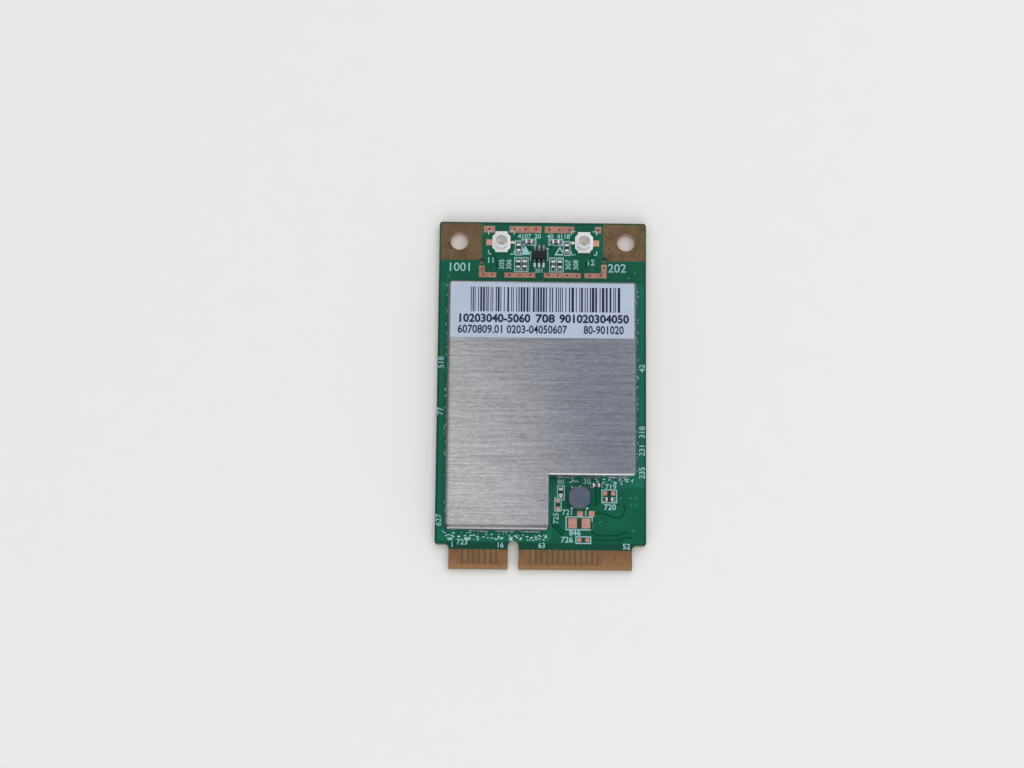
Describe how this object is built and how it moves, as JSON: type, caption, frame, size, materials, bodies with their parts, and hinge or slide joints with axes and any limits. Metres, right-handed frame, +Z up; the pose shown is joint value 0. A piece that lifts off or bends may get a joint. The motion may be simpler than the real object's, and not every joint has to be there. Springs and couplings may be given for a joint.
{
  "type": "laptop wifi card",
  "caption": "Plug-in wireless network card for a laptop: green circuit board with a keyed edge tongue, clip-on metal radio shield, antenna sockets and two screw holes.",
  "frame": {"origin": "centre of the board's underside, in the plane that lies on the laptop's card bay", "axes": "+Z up from the component side, +Y towards the antenna sockets and screw holes, +X to the right seen from above with the sockets at the far end"},
  "size_m": [0.03, 0.051, 0.0032],
  "materials": {
    "board": "glass-fibre board with green solder mask, satin",
    "bare_copper": "bare organic-coated copper, salmon, satin",
    "gold": "thin dull gold plating over copper",
    "tin": "tin plated, satin",
    "solder": "reflowed solder, glossy",
    "shield_steel": "brushed nickel silver sheet, grain across the card",
    "label_paper": null,
    "socket_plastic": "white liquid-crystal plastic",
    "socket_silver": "silver plated",
    "black_mould": "black moulding compound, matt",
    "ferrite": "grey ferrite, matt",
    "copper_wire": "enamelled copper wire",
    "resistor_black": "black glaze on ceramic",
    "capacitor_tan": "grey-brown ceramic",
    "ceramic_white": "white ceramic"
  },
  "bodies": {
    "root": {"circuit_board": "board", "bare_pads": "bare_copper", "tinned_pads": "tin", "copper_strips": "bare_copper", "corner_plating_left": "gold", "corner_plating_right": "gold", "edge_contacts_top": "gold", "edge_contacts_under": "gold", "shield_frame": "shield_steel", "shield_lid": "shield_steel", "shield_solder": "solder", "label": "label_paper", "socket_base_left": "socket_plastic", "socket_ring_left": "socket_silver", "socket_pin_left": "gold", "socket_base_right": "socket_plastic", "socket_ring_right": "socket_silver", "socket_pin_right": "gold", "switch_chip_body": "black_mould", "switch_chip_leads": "tin", "memory_chip_body": "black_mould", "memory_chip_leads": "tin", "inductor_core": "ferrite", "inductor_winding": "copper_wire", "inductor_terminals": "tin", "resistor_blocks": "resistor_black", "resistor_ends": "tin", "capacitor_blocks": "capacitor_tan", "capacitor_ends": "tin", "inner_capacitor_blocks": "capacitor_tan", "inner_capacitor_ends": "tin", "radio_chip": "black_mould", "radio_chip_contacts": "tin", "crystal_case": "ceramic_white", "crystal_cover": "shield_steel", "amplifier_left": "black_mould", "amplifier_right": "black_mould", "filter_left": "ceramic_white", "filter_right": "ceramic_white", "regulator": "black_mould"}
  },
  "joints": []
}
